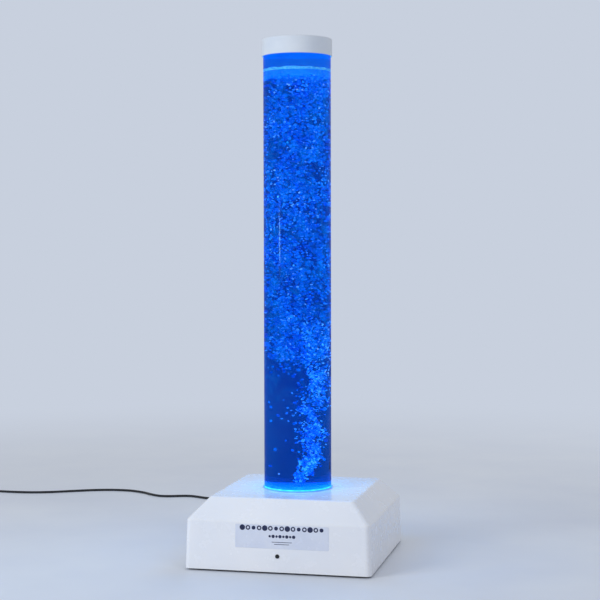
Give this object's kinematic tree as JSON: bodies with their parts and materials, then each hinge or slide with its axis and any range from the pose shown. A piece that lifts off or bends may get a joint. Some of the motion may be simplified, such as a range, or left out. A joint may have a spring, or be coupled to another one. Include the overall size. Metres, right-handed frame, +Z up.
{
  "type": "bubble tube floor lamp",
  "caption": "Floor-standing bubble tube lamp: a clear water-filled tube lit from below on a chamfered white base, with a lift-off cap and a trailing low-voltage cord.",
  "frame": {"origin": "centre of the base's footprint, on the floor", "axes": "+Z up along the tube, -Y towards the front with the label and the push-button, +X to the right of it"},
  "size_m": [1.3524, 0.9225, 1.1502],
  "materials": {
    "cover_white": "moulded, satin",
    "cap_white": "moulded, satin",
    "clear_acrylic": "polished clear",
    "lit_floor": "clear, lit from below",
    "water": "clear liquid, lit blue",
    "bubble_air": "pockets of air, lit blue",
    "seal_rubber": "soft, translucent",
    "black_rubber": "matte",
    "steel_plate": "powder coat",
    "zinc_steel": "zinc plated",
    "aluminium": "satin",
    "board_white": "solder mask",
    "board_green": "solder mask",
    "led_lens": "lit lens",
    "pump_plastic": "fine grain",
    "core_iron": "laminated",
    "coil_wire": "enamelled",
    "hose_clear": "translucent",
    "fitting_grey": "moulded",
    "tap_brass": "turned",
    "lever_red": "dipped",
    "ivory_plastic": "moulded",
    "black_plastic": "moulded",
    "component_mix": "moulded",
    "wire_red": "sleeved",
    "cord_black": "sleeved",
    "label_film": "clear film"
  },
  "bodies": {
    "lamp": {"base_cover": "cover_white", "cover_screws": "zinc_steel", "base_plate": "steel_plate", "rubber_feet": "black_rubber", "foot_screws": "zinc_steel", "support_pillars": "zinc_steel", "pillar_bolts": "zinc_steel", "tube_deck": "steel_plate", "acrylic_tube": "clear_acrylic", "tube_flange": "clear_acrylic", "flange_bolts": "zinc_steel", "tube_floor": "lit_floor", "tube_seal_ring": "seal_rubber", "water_column": "water", "air_bubbles": "bubble_air", "led_plate": "aluminium", "led_board": "board_white", "led_lamps": "led_lens", "air_nozzle": "fitting_grey", "nozzle_washer": "black_rubber", "nozzle_nut": "fitting_grey", "air_hose_upper": "hose_clear", "check_valve": "fitting_grey", "air_hose_lower": "hose_clear", "pump_tray": "pump_plastic", "pump_cover": "pump_plastic", "pump_mounts": "black_rubber", "pump_core": "core_iron", "pump_coil": "coil_wire", "pump_pivot_pin": "zinc_steel", "pump_diaphragm": "black_rubber", "pump_valve_block": "ivory_plastic", "drain_fitting": "fitting_grey", "drain_nut": "fitting_grey", "drain_hose": "hose_clear", "drain_tap": "tap_brass", "tap_bracket": "zinc_steel", "control_board": "board_green", "board_standoffs": "zinc_steel", "board_parts": "component_mix", "terminal_block": "ivory_plastic", "wiring_loom": "wire_red", "inner_lead": "cord_black", "cable_bracket": "zinc_steel", "strain_relief": "black_plastic", "button_bezel": "black_plastic", "button_nut": "zinc_steel", "button_spring": "zinc_steel", "label_plate": "label_film", "power_cord": "cord_black", "cord_coil": "cord_black", "cord_tie": "black_plastic", "adaptor_body": "black_plastic", "adaptor_pins": "zinc_steel"},
    "lid": {"top_cap": "cap_white"},
    "button": {"button_cap": "black_plastic"},
    "tap": {"tap_lever": "lever_red"},
    "swing_arm": {"pump_arm": "zinc_steel", "pump_magnet": "core_iron"}
  },
  "joints": [
    {"name": "lid_lift", "type": "slide", "parent": "lamp", "child": "lid", "axis": [0, 0, 1], "range_m": [0, 0.08]},
    {"name": "button_press", "type": "slide", "parent": "lamp", "child": "button", "axis": [0, 0.9996, -0.0288], "range_m": [0, 0.0015], "stiffness_N_per_m": 400, "springref_m": -0.001, "deforming": ["button_spring"]},
    {"name": "tap_turn", "type": "hinge", "parent": "lamp", "child": "tap", "pos_m": [0.095, 0.156, 0.045], "axis": [0, 0, 1], "range_deg": [0, 90]},
    {"name": "pump_swing", "type": "hinge", "parent": "lamp", "child": "swing_arm", "pos_m": [-0.128, -0.028, 0.04], "axis": [0, 0, 1], "range_deg": [-2, 2], "stiffness_Nm_per_rad": 2, "deforming": ["pump_diaphragm"]}
  ]
}
